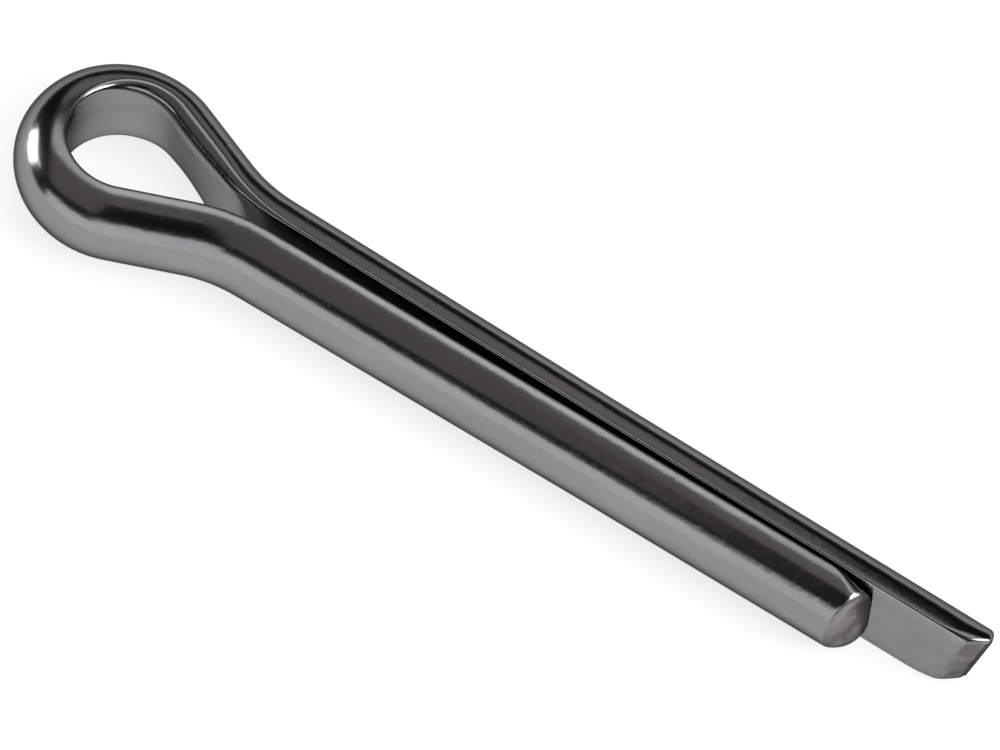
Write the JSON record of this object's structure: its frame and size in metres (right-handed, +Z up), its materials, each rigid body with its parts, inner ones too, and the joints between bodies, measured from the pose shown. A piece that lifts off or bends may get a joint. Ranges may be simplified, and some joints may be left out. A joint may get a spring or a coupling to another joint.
{
  "type": "cotter pin",
  "caption": "Split cotter pin bent from one half-round wire, with a teardrop eye, a short leg and a longer leg with a bevelled end.",
  "frame": {"origin": "on the axis of the shank at the neck, where the legs part to form the eye", "axes": "+X along the shank from the eye to the tips, +Y from the short leg to the long leg, +Z up, square to the plane of the eye"},
  "size_m": [0.0789, 0.0156, 0.0072],
  "materials": {
    "zinc_plated_wire": "bright zinc plating over drawn steel wire, with fine die lines along its length"
  },
  "bodies": {
    "root": {"cotter_pin": "zinc_plated_wire"}
  },
  "joints": []
}
